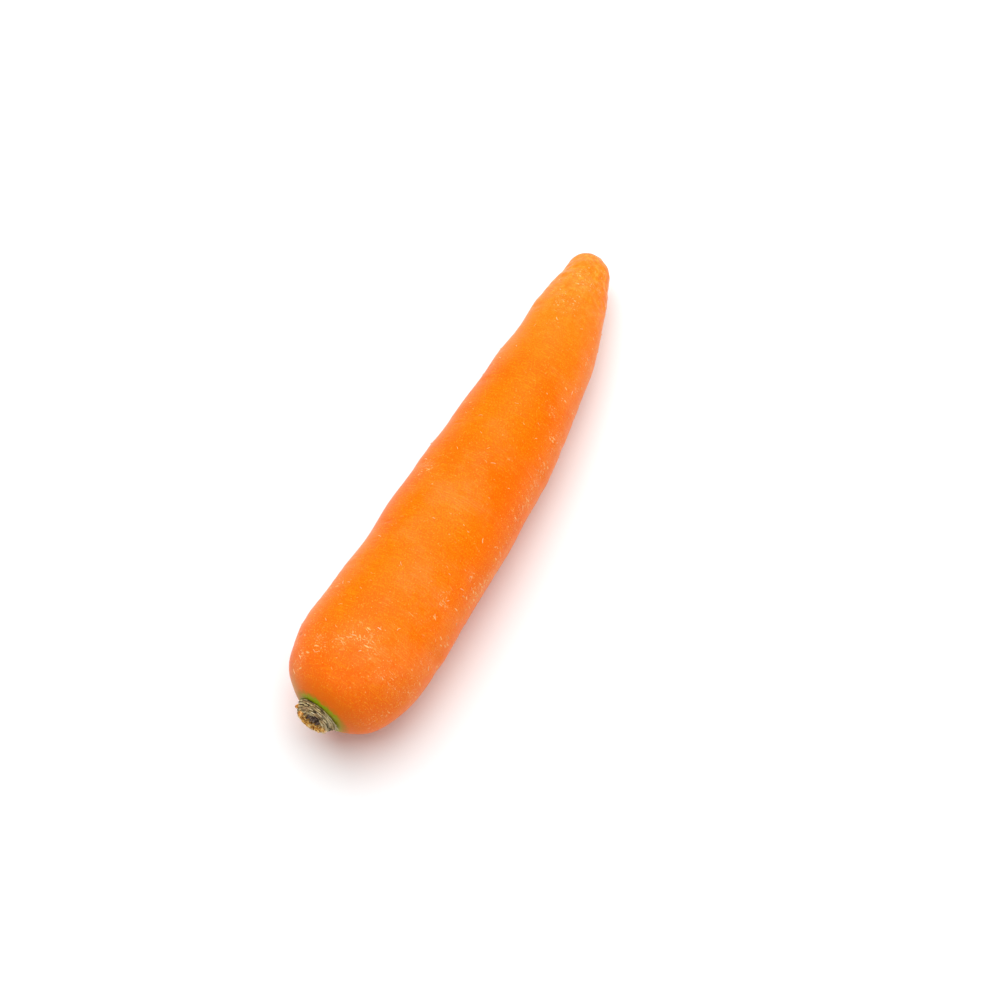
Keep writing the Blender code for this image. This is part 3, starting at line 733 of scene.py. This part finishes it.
# The cut stalks: the feet of the leaves that were alive at harvest, cut through with a knife.
# Each is a crescent in plan, and its cut face shows the rusty ends of its sap channels.
CUT_STALKS = (
    # The turn of its middle, its reach to each side, its radius, its thickness, the height of its cut.
    (0.15, 0.64, 4.45, 2.2, 3.5), (1.15, 0.62, 4.7, 2.3, 3.6), (2.15, 0.62, 4.7, 2.3, 3.5),
    (3.4, 0.6, 4.4, 2.1, 3.6), (4.7, 0.7, 4.3, 2.1, 3.65),
    (0.6, 0.72, 3.0, 1.2, 3.2), (1.95, 0.72, 3.0, 1.2, 3.3), (3.3, 0.6, 3.1, 1.0, 3.1),
)
STALK_FOOT = 1.0 * MM
SPIN_STEPS = 14
MARGIN_THINNING = 0.42
MARGIN_DROP = 0.3 * MM
CUT_EDGE = 0.16 * MM
TORN_HEIGHT = 0.12 * MM
FRAYED_HEIGHT = 0.09 * MM
UNEVEN_HEIGHT = 0.16 * MM


def cut_stalk(middle_turn, reach, radius, thickness, top, seed):
    """One stalk: an upright panel spun round the stub's middle, thinned to both margins."""
    bpy.ops.object.select_all(action="DESELECT")
    bpy.ops.mesh.primitive_grid_add(x_subdivisions=3, y_subdivisions=3, size=1)
    stalk = bpy.context.object
    start = middle_turn - reach
    for point in stalk.data.vertices:
        out = radius + thickness * point.co.x
        height_now = STALK_FOOT + (top - STALK_FOOT) * (point.co.y + 0.5)
        point.co = (out * math.cos(start), out * math.sin(start), height_now)
    bpy.ops.object.mode_set(mode="EDIT")
    bpy.ops.mesh.select_all(action="SELECT")
    bpy.ops.mesh.spin(steps=SPIN_STEPS, angle=2 * reach, center=(0, 0, 0), axis=(0, 0, 1))
    bpy.ops.mesh.select_all(action="SELECT")
    bpy.ops.mesh.normals_make_consistent(inside=False)
    bpy.ops.object.mode_set(mode="OBJECT")
    points, _ = read_points(stalk.data)
    from_axis = np.hypot(points[:, 0], points[:, 1])
    share = (np.arctan2(points[:, 1], points[:, 0]) - middle_turn + math.pi) % (2 * math.pi) - math.pi
    share = np.clip(share / reach, -1, 1)
    new_radius = radius + (from_axis - radius) * (1 - MARGIN_THINNING * share**2)
    points[:, :2] *= (new_radius / from_axis)[:, None]
    points[:, 2] -= MARGIN_DROP * share**2 * (points[:, 2] - STALK_FOOT) / (top - STALK_FOOT)
    write_points(stalk.data, points)
    edges = stalk.modifiers.new("edges", "BEVEL")
    edges.width = CUT_EDGE
    edges.segments = 2
    edges.limit_method = "ANGLE"
    edges.angle_limit = math.radians(50)
    bpy.ops.object.modifier_apply(modifier=edges.name)
    finer = stalk.modifiers.new("finer", "SUBSURF")
    finer.levels = 2
    finer.render_levels = 2
    bpy.ops.object.modifier_apply(modifier=finer.name)
    points, normals = read_points(stalk.data)
    torn = TORN_HEIGHT * rough(points, 0.9 * MM, seed)
    torn += FRAYED_HEIGHT * rough(points, 0.32 * MM, seed + 9)
    write_points(stalk.data, points + normals * torn[:, None])
    return stalk


def joined(pieces, name):
    """These pieces as one smooth object of this name."""
    bpy.ops.object.select_all(action="DESELECT")
    for piece in pieces:
        piece.select_set(True)
    bpy.context.view_layer.objects.active = pieces[0]
    bpy.ops.object.join()
    bpy.context.object.name = name
    bpy.ops.object.shade_smooth()
    return bpy.context.object


stalks = []
for stalk_turn, stalk_reach, stalk_radius, stalk_thickness, stalk_top in CUT_STALKS:
    seed = draw.uniform(0, 90)
    sizes = (stalk_radius * MM, stalk_thickness * MM, stalk_top * MM)
    stalks.append(cut_stalk(stalk_turn, stalk_reach, *sizes, seed))
cut = joined(stalks, "cut_stalks")
points, normals = read_points(cut.data)
points += normals * (UNEVEN_HEIGHT * rough(points, 0.7 * MM, 77))[:, None]
write_points(cut.data, points)
paint_points(cut.data, "out", np.hypot(points[:, 0], points[:, 1]) / MM)
paint_points(cut.data, "below", points[:, 1] / MM)
paint_points(cut.data, "level", points[:, 2] / MM)
set_on_crown(cut)

cut_paint, wire, shader, place = start_material("cut_stalk")
CUT_GOLD = srgb(236, 174, 80)
CUT_CREAM = srgb(255, 228, 156)
CUT_BROWN = srgb(176, 112, 32)
CHANNEL_RIM = srgb(250, 204, 110)
CHANNEL_RUST = srgb(132, 66, 14)
FLECK_BROWN = srgb(122, 70, 22)
DRY_TAN = srgb(142, 120, 74)
DRY_STRAW = srgb(246, 228, 182)
DRY_DARK = srgb(44, 32, 18)
CUT_RIM_HIGHLIGHT = srgb(255, 232, 200)
FOOT_BROWN = srgb(84, 62, 44)
out_mm = wire.node("ShaderNodeAttribute", output="Fac", attribute_name="out")
below = wire.node("ShaderNodeAttribute", output="Fac", attribute_name="below")
level = wire.node("ShaderNodeAttribute", output="Fac", attribute_name="level")
patchy = place.noise(950.0, 3.0, 0.6)
fleck = place.noise(2300.0, 2.0, 0.7)
# The stalks of the upper side are drier, and show strands where the others show dots.
upper_side = below.between(0.4, -1.6)
# The sap channels end in rusty dots with a pale rim.
channel = wire.node("ShaderNodeTexVoronoi", {"Vector": place, "Scale": 1250.0}, output="Distance")
strands = wire.node("ShaderNodeCombineXYZ", {0: 3.0 * out_mm, 1: 2.0 * place.noise(300.0, 2.0)})
strands = strands.noise(1.0, 3.0, 0.7)
colour = wire.plain(CUT_GOLD)
colour = colour.tint(CUT_CREAM, 0.9 * patchy.between(0.53, 0.6))
colour = colour.tint(CUT_BROWN, 0.6 * patchy.between(0.46, 0.38))
colour = colour.tint(CHANNEL_RIM, 0.5 * channel.between(0.56, 0.48))
colour = colour.tint(CHANNEL_RUST, 0.95 * channel.between(0.42, 0.33))
colour = colour.tint(FLECK_BROWN, 0.45 * fleck.between(0.57, 0.67))
colour = colour.tint(DRY_TAN, 0.85 * upper_side)
colour = colour.tint(DRY_STRAW, 0.9 * upper_side * strands.between(0.53, 0.58))
colour = colour.tint(DRY_DARK, 0.9 * upper_side * strands.between(0.47, 0.42))
# Painted highlight: the outer edge of the cut on the lower side is painted pale peach, as if light catches
# it.
colour = colour.tint(CUT_RIM_HIGHLIGHT, 0.9 * out_mm.between(4.8, 5.2) * below.between(-1.0, 1.0))
colour = colour.tint(FOOT_BROWN, 0.7 * level.between(2.3, 1.8))
surface = wire.node("ShaderNodeBump", {"Strength": 0.7, "Distance": 0.15 * MM, "Height": fleck + patchy})
shader.inputs["Specular IOR Level"].default_value = 0.25
feed(wire, shader, Base_Color=colour, Roughness=0.62 + 0.25 * fleck, Normal=surface)
cut.data.materials.append(cut_paint)
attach(cut, "root")


# The heart of the stub: young leaves that never opened. They withered to dark, crumpled shoots on
# the floor of the hollow.
SHOOTS = (
    # How far out its middle is, its turn, its radius, its height and its lean.
    (1.3, -0.3, 0.8, 1.725, 0.25), (1.5, -2.2, 0.85, 1.955, 0.2), (1.0, 1.7, 0.7, 1.38, -0.3),
    (2.3, 0.7, 0.5, 1.38, 0.5), (2.1, 2.5, 0.6, 1.495, 0.4), (2.4, -1.3, 0.6, 1.84, 0.4),
    (0.3, 0.0, 0.6, 1.955, 0.1), (2.5, 3.1, 0.6, 1.84, 0.3), (1.7, -1.2, 0.7, 2.185, -0.2),
)
# The heart sits above the stub's middle, and its shoots start a little below the hollow's floor.
HEART_RISE = 0.45 * MM
HEART_SUNK = 0.2 * MM
CRUMPLE_HEIGHT = 0.3 * MM
CREASE_HEIGHT = 0.2 * MM
shoots = []
for shoot_out, shoot_turn, shoot_radius, shoot_height, shoot_lean in SHOOTS:
    bpy.ops.object.select_all(action="DESELECT")
    bpy.ops.mesh.primitive_cone_add(
        vertices=16,
        radius1=shoot_radius * MM,
        radius2=0.3 * shoot_radius * MM,
        depth=shoot_height * MM,
        location=(0, 0, 0.5 * shoot_height * MM),
    )
    shoot = bpy.context.object
    bpy.ops.object.transform_apply(location=True)
    bpy.ops.object.mode_set(mode="EDIT")
    bpy.ops.mesh.select_all(action="SELECT")
    bpy.ops.mesh.subdivide(number_cuts=3)
    bpy.ops.object.mode_set(mode="OBJECT")
    points, normals = read_points(shoot.data)
    crumpled = CRUMPLE_HEIGHT * rough(points, 0.5 * MM, 40 + shoot_out + shoot_turn)
    crumpled += CREASE_HEIGHT * rough(points, 0.25 * MM, 9)
    points += normals * crumpled[:, None]
    points[:, 0] += shoot_lean * points[:, 2] + shoot_out * math.cos(shoot_turn) * MM
    points[:, 1] += 0.5 * shoot_lean * points[:, 2] + shoot_out * math.sin(shoot_turn) * MM - HEART_RISE
    points[:, 2] += HOLLOW_FLOOR - HEART_SUNK
    write_points(shoot.data, points)
    shoots.append(shoot)
heart = joined(shoots, "heart_shoots")
set_on_crown(heart)

heart_paint, wire, shader, place = start_material("withered_shoot")
SHOOT_BROWN = srgb(112, 90, 78)
SHOOT_PALE = srgb(196, 178, 162)
SHOOT_DARK = srgb(48, 34, 30)
crumple = place.noise(2200.0, 3.0, 0.7)
colour = wire.plain(SHOOT_BROWN)
colour = colour.tint(SHOOT_PALE, 0.85 * crumple.between(0.55, 0.63))
colour = colour.tint(SHOOT_DARK, 0.85 * crumple.between(0.47, 0.38))
surface = wire.node("ShaderNodeBump", {"Strength": 0.7, "Distance": 0.15 * MM, "Height": crumple})
shader.inputs["Specular IOR Level"].default_value = 0.2
feed(wire, shader, Base_Color=colour, Roughness=0.7 + 0.2 * crumple, Normal=surface)
heart.data.materials.append(heart_paint)
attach(heart, "root")


# Two dried buds at the side of the stub: leaves cut off short when they had just begun to grow.
# They keep the tan and orange of the root's flesh.
# Each bud: how far out it is, its turn, its height, its radius and its tilt.
BUDS = ((6.3, -0.3, 2.1, 0.6, 0.15), (4.35, -0.5, 3.4, 0.85, 0.1))
BUD_LENGTHENED = 1.25
SHRIVEL_HEIGHT = 0.16 * MM
buds = []
for bud_out, bud_turn, bud_height, bud_radius, bud_tilt in BUDS:
    bpy.ops.object.select_all(action="DESELECT")
    bpy.ops.mesh.primitive_uv_sphere_add(segments=28, ring_count=18, radius=bud_radius * MM)
    bud = bpy.context.object
    points, normals = read_points(bud.data)
    points += normals * (SHRIVEL_HEIGHT * rough(points, 0.55 * MM, 60 + bud_out))[:, None]
    points[:, 2] *= BUD_LENGTHENED
    points[:, 0] += bud_tilt * points[:, 2] + bud_out * math.cos(bud_turn) * MM
    points[:, 1] += bud_out * math.sin(bud_turn) * MM
    points[:, 2] += bud_height * MM
    write_points(bud.data, points)
    buds.append(bud)
bud = joined(buds, "dried_buds")
set_on_crown(bud)

bud_paint, wire, shader, place = start_material("dried_bud")
BUD_ORANGE = srgb(216, 146, 62)
BUD_PALE = srgb(252, 212, 150)
BUD_RUST = srgb(132, 66, 16)
wrinkled = place.noise(1400.0, 3.0, 0.6)
colour = wire.plain(BUD_ORANGE)
colour = colour.tint(BUD_PALE, 0.8 * wrinkled.between(0.54, 0.62))
colour = colour.tint(BUD_RUST, 0.85 * wrinkled.between(0.47, 0.4))
surface = wire.node("ShaderNodeBump", {"Strength": 0.6, "Distance": 0.12 * MM, "Height": wrinkled})
shader.inputs["Specular IOR Level"].default_value = 0.25
feed(wire, shader, Base_Color=colour, Roughness=0.6 + 0.2 * wrinkled, Normal=surface)
bud.data.materials.append(bud_paint)
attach(bud, "root")


# Papery scraps at the foot of the stub: the thin edges of the outermost leaf feet, bleached grey,
# torn, and lying on the shoulder.
SCRAPS = (
    # The turn of its middle, how far out it is, its reach to each side and its width.
    (2.75, 7.2, 1.5, 0.5), (3.1, 7.3, 1.9, 0.7), (3.42, 7.25, 1.6, 0.55), (2.4, 7.1, 1.1, 0.4),
    (-2.5, 7.1, 1.3, 0.45), (1.0, 7.0, 1.2, 0.5), (-0.9, 7.0, 1.0, 0.4), (0.1, 7.05, 1.1, 0.4),
)
SCRAP_THICKNESS = 0.07 * MM
scraps = []
for number, (scrap_turn, scrap_out, scrap_reach, scrap_width) in enumerate(SCRAPS):
    bpy.ops.object.select_all(action="DESELECT")
    bpy.ops.mesh.primitive_grid_add(x_subdivisions=14, y_subdivisions=8, size=1)
    scrap = bpy.context.object
    points, _ = read_points(scrap.data)
    along = 2 * points[:, 0]
    torn = rough(np.stack([3 * along, 0 * along, 0 * along], 1), 1.0, 30 + number)
    outer = (points[:, 1] + 0.5) * (1 - along**2) * (1 + 0.8 * torn)
    out = scrap_out * MM + (outer - 0.35) * scrap_width * 2 * MM
    around = scrap_turn + along * scrap_reach * MM / out
    lift = (0.12 + 0.25 * outer + 0.12 * rough(points, 0.3, 50 + number)) * MM
    points = np.stack([out * np.cos(around), out * np.sin(around), lift], 1)
    write_points(scrap.data, points)
    thick = scrap.modifiers.new("thick", "SOLIDIFY")
    thick.thickness = SCRAP_THICKNESS
    bpy.ops.object.modifier_apply(modifier=thick.name)
    scraps.append(scrap)
scrap = joined(scraps, "papery_scraps")
bpy.ops.object.mode_set(mode="EDIT")
bpy.ops.mesh.select_all(action="SELECT")
bpy.ops.mesh.normals_make_consistent(inside=False)
bpy.ops.object.mode_set(mode="OBJECT")
set_on_crown(scrap)

scrap_paint, wire, shader, place = start_material("papery_scrap")
SCRAP_BUFF = srgb(206, 188, 150)
SCRAP_TAN = srgb(160, 136, 92)
SCRAP_PALE = srgb(234, 222, 196)
mottled = place.noise(1300.0, 3.0, 0.6)
colour = wire.plain(SCRAP_BUFF)
colour = colour.tint(SCRAP_TAN, 0.8 * mottled.between(0.48, 0.38))
colour = colour.tint(SCRAP_PALE, 0.8 * mottled.between(0.54, 0.64))
surface = wire.node("ShaderNodeBump", {"Strength": 0.6, "Distance": 0.1 * MM, "Height": mottled})
shader.inputs["Specular IOR Level"].default_value = 0.2
feed(wire, shader, Base_Color=colour, Roughness=0.7 + 0.2 * mottled, Normal=surface)
scrap.data.materials.append(scrap_paint)
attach(scrap, "root")


# The table that the carrot lies on: a plain, matt, white sheet, wide enough that no edge shows
# from above.
TABLE_SIDE = 6.0
bpy.ops.object.select_all(action="DESELECT")
bpy.ops.mesh.primitive_plane_add(size=TABLE_SIDE, location=(0, 0, 0))
table = bpy.context.object
table.name = "table"
table_paint, wire, shader, place = start_material("white_table")
shader.inputs["Base Color"].default_value = srgb(247, 250, 251)
shader.inputs["Roughness"].default_value = 0.85
shader.inputs["Specular IOR Level"].default_value = 0.1
table.data.materials.append(table_paint)


# The studio light: one wide soft box almost overhead, a weaker one low on the right, and a pale
# room all round.
ROOM_STRENGTH = 0.36
room = bpy.data.worlds.new("pale_room")
room.use_nodes = True
room.node_tree.nodes["Background"].inputs["Color"].default_value = (1.0, 1.0, 1.0, 1.0)
room.node_tree.nodes["Background"].inputs["Strength"].default_value = ROOM_STRENGTH
bpy.context.scene.world = room
SOFT_BOXES = (
    # Its name, its place in metres, its side in metres and its watts.
    ("soft_box_overhead", Vector((0.25, 0.17, 1.2)), 1.6, 22.0),
    ("soft_box_right", Vector((-0.3, -1.1, 0.45)), 1.0, 1.3),
)
for box_name, box_place, box_size, box_watts in SOFT_BOXES:
    facing = box_place.to_track_quat("Z", "Y").to_euler()
    bpy.ops.object.light_add(type="AREA", location=box_place, rotation=facing)
    soft_box = bpy.context.object
    soft_box.name = box_name
    soft_box.data.size = box_size
    soft_box.data.energy = box_watts


# The camera, at the photograph's angle: it looks down over the crown, along the root. It is turned
# and raised to suit a root that lies flat.
CAMERA_AZIMUTH = math.radians(-63.0)
CAMERA_ELEVATION = math.radians(64.24)
CAMERA_DISTANCE = 764 * MM
CAMERA_TARGET = Vector((0.0, -10.9, 15)) * MM
CAMERA_LENS = 85
CAMERA_SENSOR = 36
back = Vector((
    math.sin(CAMERA_AZIMUTH) * math.cos(CAMERA_ELEVATION),
    -math.cos(CAMERA_AZIMUTH) * math.cos(CAMERA_ELEVATION),
    math.sin(CAMERA_ELEVATION),
))
camera_place = CAMERA_TARGET + CAMERA_DISTANCE * back
bpy.ops.object.camera_add(location=camera_place, rotation=back.to_track_quat("Z", "Y").to_euler())
camera = bpy.context.object
camera.data.lens = CAMERA_LENS
camera.data.sensor_width = CAMERA_SENSOR
bpy.context.scene.camera = camera
bpy.context.scene.view_settings.view_transform = "Standard"
bpy.context.scene.view_settings.look = "None"
